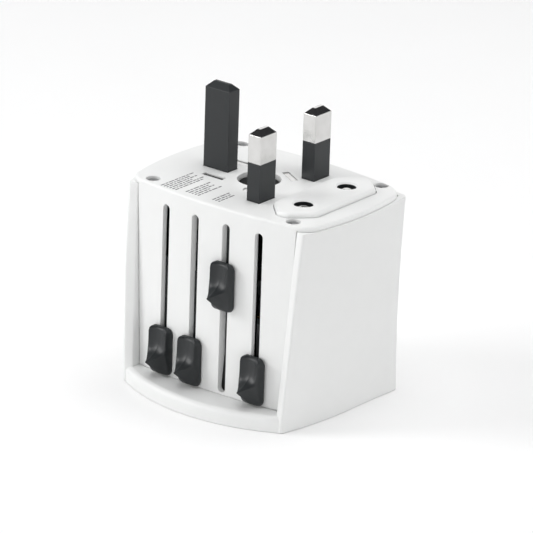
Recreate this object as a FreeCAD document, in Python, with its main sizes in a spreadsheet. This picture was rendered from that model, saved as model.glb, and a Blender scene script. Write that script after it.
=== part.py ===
# Universal travel adapter: slider plugs for four regions, a universal socket in the base.
# The adapter stands on its socket face with the plug face up. Origin at the middle of the
# socket face, +Z up to the plug face, -Y towards the slider face. Millimetres.
import FreeCAD, Part
import math
import os
import re
from FreeCAD import Placement, Rotation, Vector

os.makedirs("parts", exist_ok=True)
doc = FreeCAD.newDocument("TravelAdapter")
sheet = doc.addObject("Spreadsheet::Sheet", "Sizes")

sizes = {
    # casing
    "body_height": 54.5,
    "side_top": 31.9,
    "side_waist": 30.0,
    "side_base": 27.2,
    "waist_height": 26.0,
    "side_axis": 65.1,
    "shell_wall": 2.0,
    "rim_wall": 3.8,
    "rim_depth": 6.0,
    "rim_head": 21.2,
    "rim_foot": 24.9,
    "shell_gap": 0.1,
    "shell_drop": 1.3,
    "front_reach": 22.9,
    "front_arc": 150.0,
    "back_reach": 22.4,
    "back_arc": 130.0,
    "lip_reach": 31.3,
    "lip_arc": 50.0,
    "lip_height": 4.2,
    "lip_soft": 1.8,
    "cover_wall": 1.4,
    "cover_top": 2.2,
    "boss_radius": 1.9,
    "boss_height": 12.0,
    "screw_x": 22.7,
    "screw_front": 18.3,
    "screw_back": 17.8,
    "screw_hole": 1.0,
    "recess_radius": 1.85,
    "recess_depth": 1.4,
    # sliders
    "slot_pitch": 10.0,
    "slot_width": 2.3,
    "slot_foot": 4.9,
    "slot_head": 50.4,
    "stem_width": 1.8,
    "knob_width": 7.0,
    "knob_height": 13.0,
    "knob_reach": 6.6,
    "knob_foot": 4.5,
    "knob_gap": 0.45,
    "web_gap": 0.45,
    "web_depth": 1.8,
    "web_width": 3.6,
    "bar_height": 3.8,
    "bar_headroom": 0.5,
    "root_depth": 2.0,
    # British plug, drawn extended
    "line_x": 6.5,
    "line_pitch": 22.2,
    "earth_back": 22.2,
    "line_width": 6.35,
    "line_thick": 3.975,
    "line_length": 19.0,
    "sleeve_length": 10.2,
    "earth_width": 7.95,
    "earth_length": 23.0,
    "pin_taper": 1.5,
    "uk_travel": 22.9,
    # American and Australian plugs, drawn retracted
    "blade_width": 6.35,
    "us_x": -12.6,
    "us_pitch": 12.7,
    "us_thick": 1.5,
    "us_travel": 16.2,
    "au_x": 1.7,
    "au_pitch": 13.7,
    "au_thick": 1.63,
    "au_tilt": 30.0,
    "au_travel": 17.3,
    "blade_sink": 0.2,
    "blade_play": 0.15,
    # European plug, drawn retracted
    "euro_x": 18.4,
    "euro_pitch": 17.6,
    "euro_pin": 4.0,
    "euro_length": 19.0,
    "euro_sleeve": 10.0,
    "euro_core": 2.6,
    "euro_travel": 36.8,
    "block_width": 13.7,
    "block_length": 35.3,
    "block_corner": 5.6,
    "block_height": 26.0,
    "block_wall": 1.5,
    "block_roof": 3.0,
    "block_proud": 1.2,
    "block_play": 0.15,
    "block_travel": 17.0,
    "pin_play": 0.3,
    # fuse
    "fuse_x": -2.9,
    "fuse_radius": 2.6,
    "fuse_length": 20.0,
    "fuse_floor": 25.0,
    "cap_radius": 5.3,
    "cap_hole": 5.7,
    "cap_shank": 4.0,
    "cap_play": 0.08,
    "cap_sink": 1.0,
    "cap_head": 1.2,
    "holder_radius": 4.9,
    # socket
    "face_thick": 2.6,
    "face_step": 1.2,
    "face_width": 41.0,
    "face_depth": 33.0,
    "face_play": 0.2,
    "block_top": 24.0,
    "cavity_top": 21.5,
    "contact_thick": 0.6,
}
for row, (alias, value) in enumerate(sizes.items(), start=1):
    sheet.set(f"A{row}", alias)
    sheet.set(f"B{row}", str(value))
    sheet.setAlias(f"B{row}", alias)
doc.recompute()

nodes = []


def sized(expression):
    """Put the sheet's name in front of every alias in an expression."""
    return re.sub(r"[a-z_]+", lambda word: "Sizes." + word[0] if word[0] in sizes else word[0], expression)


def place(item, x="0", y="0", z="0"):
    for axis, expression in (("x", x), ("y", y), ("z", z)):
        item.setExpression(f"Placement.Base.{axis}", sized(expression))


def box(x, y, z, length, width, height, turn=0.0):
    """A box centred on x and y that stands on z, turned about its own centre."""
    item = doc.addObject("Part::Box", "Block")
    item.setExpression("Length", sized(length))
    item.setExpression("Width", sized(width))
    item.setExpression("Height", sized(height))
    if turn == 0.0:
        place(item, f"{x} - ( {length} ) / 2", f"{y} - ( {width} ) / 2", z)
        return item
    item.setExpression("Placement.Rotation.Angle", f"{turn} deg")
    half_x = f"( {length} ) / 2"
    half_y = f"( {width} ) / 2"
    along = f"( {half_x} ) * cos( {turn} deg ) - ( {half_y} ) * sin( {turn} deg )"
    across = f"( {half_x} ) * sin( {turn} deg ) + ( {half_y} ) * cos( {turn} deg )"
    place(item, f"{x} - ( {along} )", f"{y} - ( {across} )", z)
    return item


def span(x_low, x_high, y_low, y_high, z_low, z_high):
    """A box given by its six limits."""
    item = doc.addObject("Part::Box", "Block")
    item.setExpression("Length", sized(f"( {x_high} ) - ( {x_low} )"))
    item.setExpression("Width", sized(f"( {y_high} ) - ( {y_low} )"))
    item.setExpression("Height", sized(f"( {z_high} ) - ( {z_low} )"))
    place(item, x_low, y_low, z_low)
    return item


def rod(x, y, z, radius, height):
    item = doc.addObject("Part::Cylinder", "Round")
    item.setExpression("Radius", sized(radius))
    item.setExpression("Height", sized(height))
    place(item, x, y, z)
    return item


def cone(x, y, z, foot, head, height):
    item = doc.addObject("Part::Cone", "Taper")
    item.setExpression("Radius1", sized(foot))
    item.setExpression("Radius2", sized(head))
    item.setExpression("Height", sized(height))
    place(item, x, y, z)
    return item


def fuse(*shapes):
    item = doc.addObject("Part::MultiFuse", "Joined")
    item.Shapes = list(shapes)
    item.Refine = True
    return item


def common(*shapes):
    item = doc.addObject("Part::MultiCommon", "Shared")
    item.Shapes = list(shapes)
    return item


def cut(base, *tools):
    item = doc.addObject("Part::Cut", "Pared")
    item.Base = base
    item.Tool = tools[0] if len(tools) == 1 else fuse(*tools)
    return item


def group(*shapes):
    """Several separate solids that are one kind of piece."""
    item = doc.addObject("Part::Compound", "Set")
    item.Links = list(shapes)
    return item


def round_edges(base, radius, wanted):
    """Round the edges of a finished shape that the test picks."""
    doc.recompute()
    item = doc.addObject("Part::Fillet", "Rounded")
    item.Base = base
    item.Edges = [
        (number, sizes.get(radius, radius), sizes.get(radius, radius))
        for number, edge in enumerate(base.Shape.Edges, start=1)
        if wanted(edge)
    ]
    return item


def node(name, item):
    item.Label = name
    nodes.append(item)
    return item


# ---------------------------------------------------------------- casing forms

top = "body_height"


def side_profile(inset, z_low, z_high):
    """Half section of the barrel that shapes one side: three points and the arc through them."""
    heights = (0.0, sizes["waist_height"], sizes["body_height"])
    reaches = [sizes[name] + sizes["side_axis"] - inset for name in ("side_base", "side_waist", "side_top")]
    arc = Part.Arc(*[Vector(reach, height, 0) for reach, height in zip(reaches, heights)])
    centre, radius = arc.toShape().Curve.Center, arc.toShape().Curve.Radius
    low = Vector(centre.x + (radius**2 - (z_low - centre.y) ** 2) ** 0.5, z_low, 0)
    high = Vector(centre.x + (radius**2 - (z_high - centre.y) ** 2) ** 0.5, z_high, 0)
    middle_height = (z_low + z_high) / 2
    middle = Vector(centre.x + (radius**2 - (middle_height - centre.y) ** 2) ** 0.5, middle_height, 0)
    sketch = doc.addObject("Sketcher::SketchObject", "SideProfile")
    sketch.addGeometry(Part.LineSegment(Vector(0, z_low, 0), low), False)
    sketch.addGeometry(Part.Arc(low, middle, high), False)
    sketch.addGeometry(Part.LineSegment(high, Vector(0, z_high, 0)), False)
    sketch.addGeometry(Part.LineSegment(Vector(0, z_high, 0), Vector(0, z_low, 0)), False)
    sketch.Placement = Placement(Vector(), Rotation(Vector(1, 0, 0), 90))
    return sketch


def side_rounds(inset, z_low, z_high):
    """The two bowed side surfaces, inset from the outside of the shell, between two heights."""
    sides = []
    for way in ("-", ""):
        solid = doc.addObject("Part::Revolution", "SideRound")
        solid.Source = side_profile(inset, z_low, z_high)
        solid.Axis = Vector(0, 0, 1)
        solid.Base = Vector()
        solid.Angle = 360
        solid.Solid = True
        place(solid, f"{way}side_axis")
        sides.append(solid)
    return sides


def front_round(inset, z_low, z_high):
    """The gently bowed slider face as the side of a wide cylinder."""
    height = f"( {z_high} ) - ( {z_low} )"
    return rod("0", "front_arc - front_reach", z_low, f"front_arc - ( {inset} )", height)


def back_round(inset, z_low, z_high):
    height = f"( {z_high} ) - ( {z_low} )"
    return rod("0", "back_reach - back_arc", z_low, f"back_arc - ( {inset} )", height)


def slot_x(number):
    """Middle of slider slot 1 to 4, counted from the left."""
    return f"slot_pitch * {number - 2.5}"


def face_y(number):
    """How far forward the slider face stands at a slot."""
    return f"front_reach - ( {slot_x(number)} ) * ( {slot_x(number)} ) / ( 2 * front_arc )"


earth_x = "( line_x - earth_back )"
line_y = {"live": "-line_pitch / 2", "neutral": "line_pitch / 2"}
us_y = {"live": "-us_pitch / 2", "neutral": "us_pitch / 2"}
au_y = {"live": "-au_pitch / 2", "neutral": "au_pitch / 2"}
au_turn = {"live": sizes["au_tilt"], "neutral": -sizes["au_tilt"]}
euro_y = {"live": "-euro_pitch / 2", "neutral": "euro_pitch / 2"}
poles = ("live", "neutral")
corners = [(f"{way}screw_x", y) for way in ("-", "") for y in ("-screw_front", "screw_back")]
plate_foot = "( body_height - cover_top )"
bar_top = "( body_height - cover_top - bar_headroom )"


def octagon(grow, z_low, height):
    """The European plug's outline: a long bar with its four corners cut off at 45 degrees."""
    whole = box("euro_x", "0", z_low, f"block_width + 2 * {grow}", f"block_length + 2 * {grow}", height)
    reach = f"( block_width / 2 + block_length / 2 - block_corner + 1.4 * {grow} )"
    side = f"{reach} * 1.41421"
    turned = box("euro_x", "0", z_low, side, side, height, turn=45.0)
    return common(whole, turned)


# ---------------------------------------------------------------- core cover

full = sizes["body_height"]
lip_top = sizes["lip_height"]
cover_inset = sizes["shell_wall"] + sizes["shell_gap"]
rim_inset = sizes["rim_wall"] + sizes["shell_gap"]
rim_back = "( rim_depth - front_reach )"
cover_wide = common(
    *side_rounds(cover_inset, lip_top, full),
    span("-40", "40", f"{rim_back} + shell_gap", "40", "lip_height", top),
)
cover_narrow = common(
    *side_rounds(rim_inset, lip_top, full),
    span("-40", "40", "-40", f"{rim_back} + 5", "lip_height", top),
)
cover_form = common(
    fuse(cover_wide, cover_narrow),
    front_round("0", "lip_height", top),
    back_round("0", "lip_height", top),
)
cover_soft = round_edges(
    cover_form,
    1.2,
    lambda edge: abs(edge.BoundBox.ZMin - sizes["body_height"]) < 0.01,
)
cover_hollow = common(
    front_round("cover_wall", "0", plate_foot),
    back_round("cover_wall", "0", plate_foot),
)
slots = []
for number in (1, 2, 3, 4):
    slot_half = "slot_width / 2"
    slots.append(
        span(
            f"{slot_x(number)} - {slot_half}",
            f"{slot_x(number)} + {slot_half}",
            "-front_reach - 1",
            "-front_reach + cover_wall + 1.5",
            f"slot_foot + {slot_half}",
            f"slot_head - {slot_half}",
        )
    )
    for height in (f"slot_foot + {slot_half}", f"slot_head - {slot_half}"):
        slot_end = doc.addObject("Part::Cylinder", "SlotEnd")
        slot_end.setExpression("Radius", sized(slot_half))
        slot_end.setExpression("Height", sized("cover_wall + 2.5"))
        slot_end.Placement = Placement(Vector(), Rotation(Vector(1, 0, 0), -90))
        place(slot_end, slot_x(number), "-front_reach - 1", height)
        slots.append(slot_end)

plate_cuts = [octagon("block_play", f"{plate_foot} - 1", "cover_top + 2")]
plate_cuts.append(rod("fuse_x", "0", f"{plate_foot} - 1", "cap_hole", "cover_top + 2"))
hole_foot = f"{plate_foot} - 1"
hole_height = "cover_top + 2"
earth_hole = box(
    earth_x, "0", hole_foot, "earth_width + 2 * blade_play", "line_thick + 2 * blade_play", hole_height
)
plate_cuts.append(earth_hole)
for pole in poles:
    line_hole = box(
        "line_x",
        line_y[pole],
        hole_foot,
        "line_thick + 2 * blade_play",
        "line_width + 2 * blade_play",
        hole_height,
    )
    us_hole = box(
        "us_x",
        us_y[pole],
        hole_foot,
        "blade_width + 2 * blade_play",
        "us_thick + 2 * blade_play",
        hole_height,
    )
    au_hole = box(
        "au_x",
        au_y[pole],
        hole_foot,
        "blade_width + 2 * blade_play",
        "au_thick + 2 * blade_play",
        hole_height,
        turn=au_turn[pole],
    )
    plate_cuts += [line_hole, us_hole, au_hole]
for x, y in corners:
    plate_cuts.append(rod(x, y, hole_foot, "screw_hole + 0.15", hole_height))
    plate_cuts.append(rod(x, y, f"{top} - recess_depth", "recess_radius", "recess_depth + 1"))

node("core_cover", cut(cover_soft, cover_hollow, *slots, *plate_cuts))

# ---------------------------------------------------------------- outer shell

shell_top = "( body_height - shell_drop )"
lip_disc = round_edges(
    rod("0", "lip_arc - lip_reach", "0", "lip_arc", "lip_height"),
    "lip_soft",
    lambda edge: edge.BoundBox.ZMin > sizes["lip_height"] - 0.01,
)
panel_disc = rod("0", "lip_arc - lip_reach", "lip_height", "lip_arc - lip_soft / 2", "body_height")
shell_outside = common(
    *side_rounds(0.0, 0.0, full - sizes["shell_drop"]),
    back_round("0", "0", shell_top),
    fuse(lip_disc, panel_disc),
)
shell_full = sizes["body_height"] - sizes["shell_drop"]
shell_inside = fuse(
    common(
        *side_rounds(sizes["shell_wall"], lip_top, full),
        span("-40", "40", rim_back, "40", "lip_height", f"{shell_top} + 1"),
    ),
    common(
        *side_rounds(sizes["rim_wall"], lip_top, full),
        span("-40", "40", "-40", f"{rim_back} + 5", "lip_height", f"{shell_top} + 1"),
    ),
)
# above the lip only the two side panels stand; their front rim leans forward towards the base
rim_lean = math.degrees(math.atan2(sizes["rim_foot"] - sizes["rim_head"], shell_full - lip_top))
rim_clear = doc.addObject("Part::Box", "RimClear")
rim_clear.Length = 80
rim_clear.Width = 30
rim_clear.Height = 70
rim_clear.Placement = Placement(Vector(), Rotation(Vector(1, 0, 0), -rim_lean))
place(
    rim_clear,
    "-40",
    f"-rim_foot - 30 * cos( {rim_lean} deg )",
    f"lip_height + 30 * sin( {rim_lean} deg )",
)
front_clear = span("-40", "40", "-40", "-rim_foot", "lip_height", "body_height + 3")
face_recess = box("0", "0", "face_step", "face_width + 3", "face_depth + 3", "lip_height")
face_window = box("0", "0", "-1", "face_width", "face_depth", "lip_height + 2")
shell_pieces = [cut(shell_outside, shell_inside, rim_clear, front_clear, face_recess, face_window)]
boss_foot = f"( {plate_foot} - boss_height )"
for x, y in corners:
    way = "-" if x.startswith("-") else ""
    far = f"{way}29.4"
    low, high = (far, x) if way else (x, far)
    shell_pieces.append(rod(x, y, boss_foot, "boss_radius", "boss_height"))
    shell_pieces.append(span(low, high, f"{y} - 1", f"{y} + 1", boss_foot, plate_foot))
boss_trim = common(
    fuse(*shell_pieces[1:]),
    back_round("cover_wall + 0.15", "0", plate_foot),
    front_round("cover_wall + 0.15", "0", plate_foot),
    *side_rounds(0.8, 0.0, full),
)
shell_pieces = [shell_pieces[0], boss_trim]
shell_solid = fuse(*shell_pieces)
screw_bores = [rod(x, y, f"{boss_foot} + 1", "screw_hole - 0.05", "boss_height") for x, y in corners]
shell_bored = cut(shell_solid, *screw_bores)
node("outer_shell", shell_bored)

# ---------------------------------------------------------------- socket

face_boss = box("0", "0", "0", "face_width - 2 * face_play", "face_depth - 2 * face_play", "face_step")
face_flange = box(
    "0",
    "0",
    "face_step",
    "face_width + 3 - 2 * face_play",
    "face_depth + 3 - 2 * face_play",
    "face_thick - face_step",
)
entry_cuts = [box(earth_x, "0", "-1", "earth_width + 0.7", "line_thick + 0.7", "face_thick + 2")]
for pole in poles:
    way = "-" if pole == "live" else ""
    near = f"{way}line_pitch / 2"
    entry_cuts.append(box("line_x", f"{near} - {way}0.15", "-1", "5.0", "7.6", "face_thick + 2"))
    entry_cuts.append(box("line_x", us_y[pole], "-1", "7.4", "2.1", "face_thick + 2"))
    entry_cuts.append(box("line_x", au_y[pole], "-1", "7.4", "2.1", "face_thick + 2", turn=-au_turn[pole]))
node("socket_face", cut(fuse(face_boss, face_flange), *entry_cuts))

socket_body = span("-21", "12.2", "-17.8", "17.8", "face_thick", "block_top")
socket_cuts = [box(earth_x, "0", "0", "earth_width + 1.2", "line_thick + 1.2", "cavity_top")]
for pole in poles:
    way = "-" if pole == "live" else ""
    socket_cuts.append(box("line_x", f"{way}10.2", "0", "8.4", "10.6", "cavity_top"))
    socket_cuts.append(box("line_x", f"{way}13.6", "cavity_top - 1", "3.4", "1.0", "block_top"))
node("socket_block", cut(socket_body, *socket_cuts))

for pole in poles:
    way = "-" if pole == "live" else ""
    leaf_foot = "face_thick + 0.6"
    leaf_height = f"cavity_top - contact_thick - ( {leaf_foot} )"
    leaves = [
        box(f"line_x + {offset}", f"{way}11.6", leaf_foot, "contact_thick", "6.4", leaf_height)
        for offset in ("-2.9", "2.9")
    ]
    bridge = box("line_x", f"{way}11.6", "cavity_top - contact_thick", "6.4", "6.4", "contact_thick")
    tail_foot = "cavity_top - contact_thick"
    tail = box("line_x", f"{way}13.6", tail_foot, "3.0", "0.6", f"block_top - ( {tail_foot} )")
    node(f"contact_{pole}", fuse(*leaves, bridge, tail))

# busbars lie on the socket block and rise beside the sliders, where their wipers run
for pole in poles:
    way = "-" if pole == "live" else ""
    rail = box("9.6", f"{way}11.0", "block_top", "0.6", "4.0", "22")
    foot = box("line_x + 1.55", f"{way}13.6", "block_top", "6.1", "2.0", "contact_thick")
    strips = [rail, foot, box("9.4", f"{way}12.6", "block_top", "1.0", "3.0", "contact_thick")]
    if pole == "live":
        strips.append(box("fuse_x + 4.4", f"{way}13.6", "block_top", "10.8", "2.0", "contact_thick"))
        rung_top = "block_top + contact_thick"
        strips.append(span("fuse_x - 1", "fuse_x + 1", "-14.6", "0", "block_top", rung_top))
        strips.append(rod("fuse_x", "0", "block_top", "2.5", "fuse_floor - block_top"))
    node(f"busbar_{pole}", fuse(*strips))

# ---------------------------------------------------------------- fuse

holder_foot = "block_top + contact_thick"
holder = rod("fuse_x", "0", holder_foot, "holder_radius", f"{plate_foot} - 0.1 - ( {holder_foot} )")
fuse_top = "fuse_floor + fuse_length"
holder_bore = rod("fuse_x", "0", "block_top", "fuse_radius + 0.15", "fuse_length + 3")
holder_mouth = rod("fuse_x", "0", fuse_top, "cap_shank + cap_play", "body_height")
node("fuse_holder", cut(holder, holder_bore, holder_mouth))

end_length = 5.0
ends = [
    rod("fuse_x", "0", f"fuse_floor + {start}", "fuse_radius", str(end_length))
    for start in (0.0, sizes["fuse_length"] - end_length)
]
node("fuse_end_caps", group(*ends))
tube_length = f"fuse_length - {2 * end_length}"
tube = rod("fuse_x", "0", f"fuse_floor + {end_length}", "fuse_radius - 0.15", tube_length)
node("fuse_tube", tube)

cap_top = "body_height - cap_sink"
cap_head = rod("fuse_x", "0", f"{cap_top} - cap_head", "cap_radius", "cap_head")
cap_shank = rod("fuse_x", "0", f"{fuse_top} + 0.1", "cap_shank", f"{cap_top} - ( {fuse_top} ) - 0.6")
coin_slot = box("fuse_x", "0", f"{cap_top} - 0.7", "7.0", "1.4", "1.0")
node("fuse_cap", cut(fuse(cap_head, cap_shank), coin_slot))

# ---------------------------------------------------------------- sliders


def web_and_stem(number, z_low, z_high, knob_low):
    """The plate that runs behind a slot, and the stem that reaches through it to the knob."""
    middle = slot_x(number)
    web_front = f"-( {face_y(number)} ) + cover_wall + web_gap"
    web = span(
        f"{middle} - web_width / 2",
        f"{middle} + web_width / 2",
        web_front,
        f"{web_front} + web_depth",
        z_low,
        z_high,
    )
    stem = span(
        f"{middle} - stem_width / 2",
        f"{middle} + stem_width / 2",
        f"-( {face_y(number)} ) - knob_gap",
        f"{web_front} + 0.5",
        f"( {knob_low} ) + 2.5",
        f"( {knob_low} ) + 8.5",
    )
    return web, stem


def knob(name, number, z_low):
    """A thumb knob: a rounded plate whose outer face dips, then rises to a sharp thumb ridge."""
    sketch = doc.addObject("Sketcher::SketchObject", f"{name}_profile")
    back = -(sizes["front_reach"] - (sizes["slot_pitch"] * (number - 2.5)) ** 2 / (2 * sizes["front_arc"]))
    back -= sizes["knob_gap"]
    tall = sizes["knob_height"]
    reach = sizes["knob_reach"] - sizes["knob_gap"]
    # outline in the YZ plane: back face, top shoulder, dished slope, ridge, undercut, bottom shoulder
    outline = [
        Vector(back, 0.0, 0),
        Vector(back, tall, 0),
        Vector(back - 0.34 * reach, tall, 0),
        Vector(back - 0.40 * reach, 0.62 * tall, 0),
        Vector(back - reach, 0.39 * tall, 0),
        Vector(back - 0.52 * reach, 0.12 * tall, 0),
        Vector(back - 0.30 * reach, 0.0, 0),
    ]
    for start, end in zip(outline, outline[1:] + outline[:1]):
        sketch.addGeometry(Part.LineSegment(start, end), False)
    sketch.Placement = Placement(Vector(), Rotation(Vector(1, 1, 1), 120))
    solid = doc.addObject("Part::Extrusion", f"{name}_solid")
    solid.Base = sketch
    solid.DirMode = "Custom"
    solid.Dir = Vector(1, 0, 0)
    solid.setExpression("LengthFwd", sized("knob_width"))
    solid.Solid = True
    place(solid, f"{slot_x(number)} - knob_width / 2", "0", z_low)
    softened = round_edges(
        solid,
        1.1,
        lambda edge: abs(edge.BoundBox.XLength) > 1 and (
            edge.BoundBox.ZMax > solid.Shape.BoundBox.ZMax - 0.01
            or edge.BoundBox.ZMin < solid.Shape.BoundBox.ZMin + 0.01
        ) and edge.BoundBox.YMin < back - 0.5,
    )
    return node(name, softened)


knob_up = "( knob_foot + uk_travel )"
uk_web, uk_stem = web_and_stem(3, f"{knob_up} + 0.4", bar_top, knob_up)
bar_foot = f"( {bar_top} - bar_height )"
uk_bars = [
    span("5.7", "9.0", "-20.8", "14.4", bar_foot, bar_top),
    span("4.3", "9.0", "-14.5", "-7.7", bar_foot, bar_top),
    span("4.3", "9.0", "7.7", "14.5", bar_foot, bar_top),
    span("-22.6", "9.0", "11.8", "14.5", bar_foot, bar_top),
    span("-22.6", "-20.2", "-3.0", "14.5", bar_foot, bar_top),
    span("-22.6", "-12.4", "-3.0", "3.0", bar_foot, bar_top),
]
root = f"( {bar_top} - root_depth )"
uk_roots = [box(earth_x, "0", root, "earth_width", "line_thick", "10")]
uk_roots += [box("line_x", line_y[pole], root, "line_thick", "line_width", "10") for pole in poles]
node("uk_carriage", cut(fuse(uk_web, uk_stem, *uk_bars), *uk_roots))
knob("uk_knob", 3, knob_up)


def taper_tip(shape, z_top):
    """Chamfer all four top edges of a flat pin."""
    doc.recompute()
    item = doc.addObject("Part::Chamfer", "Tip")
    item.Base = shape
    run = sizes["pin_taper"]
    item.Edges = [
        (number, run, run)
        for number, edge in enumerate(shape.Shape.Edges, start=1)
        if edge.BoundBox.ZMin > z_top - 0.01
    ]
    return item


for pole in poles:
    pin_top = sizes["body_height"] + sizes["line_length"]
    height = f"body_height + line_length - {root}"
    sleeve_top = "( body_height + sleeve_length )"
    whole_pin = taper_tip(box("line_x", line_y[pole], root, "line_thick", "line_width", height), pin_top)
    waist_cut = cut(
        box("line_x", line_y[pole], f"{root} - 1", "20", "20", f"{sleeve_top} - {root} + 1"),
        box("line_x", line_y[pole], f"{root} - 2", "line_thick - 1.2", "line_width - 1.2", "40"),
    )
    node(f"uk_pin_{pole}", cut(whole_pin, waist_cut))
    sleeve = cut(
        box("line_x", line_y[pole], root, "line_thick", "line_width", f"{sleeve_top} - {root}"),
        box("line_x", line_y[pole], f"{root} - 1", "line_thick - 1.2", "line_width - 1.2", "40"),
    )
    node(f"uk_sleeve_{pole}", sleeve)
earth_height = f"body_height + earth_length - {root}"
earth_pin = box(earth_x, "0", root, "earth_width", "line_thick", earth_height)
node("uk_earth_pin", taper_tip(earth_pin, sizes["body_height"] + sizes["earth_length"]))

# American plug
us_top = f"( {bar_top} - us_travel )"
us_foot = f"( {us_top} - bar_height )"
us_web, us_stem = web_and_stem(1, "knob_foot + 0.4", us_top, "knob_foot")
us_bars = [
    span("-16.2", "-9.0", "-20.0", "-4.6", us_foot, us_top),
    span("-10.9", "-9.0", "-5.0", "5.0", us_foot, us_top),
    span("-16.2", "-9.0", "4.6", "8.2", us_foot, us_top),
]
us_root = f"( {us_top} - root_depth )"
us_roots = [box("us_x", us_y[pole], us_root, "blade_width", "us_thick", "10") for pole in poles]
node("us_carriage", cut(fuse(us_web, us_stem, *us_bars), *us_roots))
knob("us_knob", 1, "knob_foot")
for pole in poles:
    height = f"body_height - blade_sink - {us_root}"
    node(f"us_blade_{pole}", box("us_x", us_y[pole], us_root, "blade_width", "us_thick", height))

# Australian plug
au_top = f"( {bar_top} - au_travel )"
au_foot = f"( {au_top} - bar_height )"
au_web, au_stem = web_and_stem(2, "knob_foot + 0.4", au_top, "knob_foot")
au_bars = [
    span("-7.0", "-3.0", "-20.9", "-6.4", au_foot, au_top),
    span("-7.0", "4.0", "-9.4", "-6.4", au_foot, au_top),
    span("-1.6", "4.0", "-9.4", "-5.3", au_foot, au_top),
    span("2.7", "5.2", "-7.3", "7.3", au_foot, au_top),
    span("-1.6", "4.0", "5.3", "9.4", au_foot, au_top),
]
au_root = f"( {au_top} - root_depth )"
au_roots = [
    box("au_x", au_y[pole], au_root, "blade_width", "au_thick", "10", turn=au_turn[pole]) for pole in poles
]
node("au_carriage", cut(fuse(au_web, au_stem, *au_bars), *au_roots))
knob("au_knob", 2, "knob_foot")
for pole in poles:
    height = f"body_height - blade_sink - {au_root}"
    node(
        f"au_blade_{pole}",
        box("au_x", au_y[pole], au_root, "blade_width", "au_thick", height, turn=au_turn[pole]),
    )

# European plug: the pins slide in a block that rises behind them
euro_top = f"( {bar_top} - euro_travel )"
euro_foot = f"( {euro_top} - bar_height )"
euro_web, euro_stem = web_and_stem(4, "knob_foot + 0.4", euro_top, "knob_foot")
euro_bars = [
    span("13.5", "16.6", "-19.9", "-9.0", euro_foot, euro_top),
    span("13.5", "20.8", "-11.2", "-6.4", euro_foot, euro_top),
    span("16.0", "20.8", "-11.2", "11.2", euro_foot, euro_top),
]
euro_root = f"( {euro_top} - root_depth )"
euro_roots = [rod("euro_x", euro_y[pole], euro_root, "euro_pin / 2 - 0.1", "10") for pole in poles]
node("euro_carriage", cut(fuse(euro_web, euro_stem, *euro_bars), *euro_roots))
knob("euro_knob", 4, "knob_foot")
block_top_rest = "( body_height + block_proud )"
tip_drop = 0.8
tip_top = f"( {block_top_rest} - {tip_drop} )"
metal_foot = f"( {tip_top} - euro_length + euro_sleeve )"
for pole in poles:
    metal = rod("euro_x", euro_y[pole], metal_foot, "euro_pin / 2", f"{tip_top} - {metal_foot}")
    tip_height = sizes["body_height"] + sizes["block_proud"] - tip_drop
    domed = round_edges(metal, 1.3, lambda edge: edge.BoundBox.ZMin > tip_height - 0.01)
    shank = rod("euro_x", euro_y[pole], euro_root, "euro_core / 2", f"{metal_foot} - {euro_root} + 0.5")
    node(f"euro_pin_{pole}", fuse(domed, shank))
    sleeve = cut(
        rod("euro_x", euro_y[pole], euro_root, "euro_pin / 2 - 0.1", f"{metal_foot} - {euro_root}"),
        rod("euro_x", euro_y[pole], f"{euro_root} - 1", "euro_core / 2", "60"),
    )
    node(f"euro_sleeve_{pole}", sleeve)

block_foot = f"( {block_top_rest} - block_height )"
block_solid = octagon("0", block_foot, "block_height")
block_soft = round_edges(
    block_solid,
    0.6,
    lambda edge: edge.BoundBox.ZMin > sizes["body_height"] + sizes["block_proud"] - 0.01,
)
block_hollow = octagon("-block_wall", f"{block_foot} - 1", "block_height - block_roof + 1")
arm_notch = span("13.2", "16.9", "-20", "-9", f"{block_foot} - 1", f"{block_foot} + 5.8")
pin_bores = [
    rod("euro_x", euro_y[pole], block_foot, "euro_pin / 2 + pin_play", "block_height + 2") for pole in poles
]
node("euro_block", cut(block_soft, block_hollow, arm_notch, *pin_bores))

# ---------------------------------------------------------------- screws

screw_solids = []
for x, y in corners:
    head = rod(x, y, f"{top} - recess_depth", "recess_radius - 0.2", "0.8")
    thread_foot = f"( {boss_foot} + 3 )"
    thread = rod(x, y, thread_foot, "screw_hole - 0.1", f"{top} - recess_depth + 0.2 - {thread_foot}")
    cross = box(x, y, f"{top} - recess_depth + 0.4", "2.0", "0.4", "1")
    screw_solids.append(cut(fuse(head, thread), cross))
node("case_screws", group(*screw_solids))

# ---------------------------------------------------------------- check and write

doc.recompute()
for item in doc.Objects:
    if "Invalid" in item.State or "Error" in item.State:
        raise RuntimeError(f"{item.Name} ({item.Label}) failed: {item.State}")
for item in nodes:
    if item.Shape.isNull() or not item.Shape.isValid():
        raise RuntimeError(f"{item.Label} has no valid shape")
    item.Shape.exportStep(f"parts/{item.Label}.step")
    solids = len(item.Shape.Solids)
    print(f"{item.Label}: {solids} solid(s), {item.Shape.Volume:.1f} mm3")
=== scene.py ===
# Universal travel adapter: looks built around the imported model
# lengths in the dictionaries are millimetres, apart from those of the floor and lights
import math

import bmesh
import bpy
from mathutils import Matrix, Vector


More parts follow.
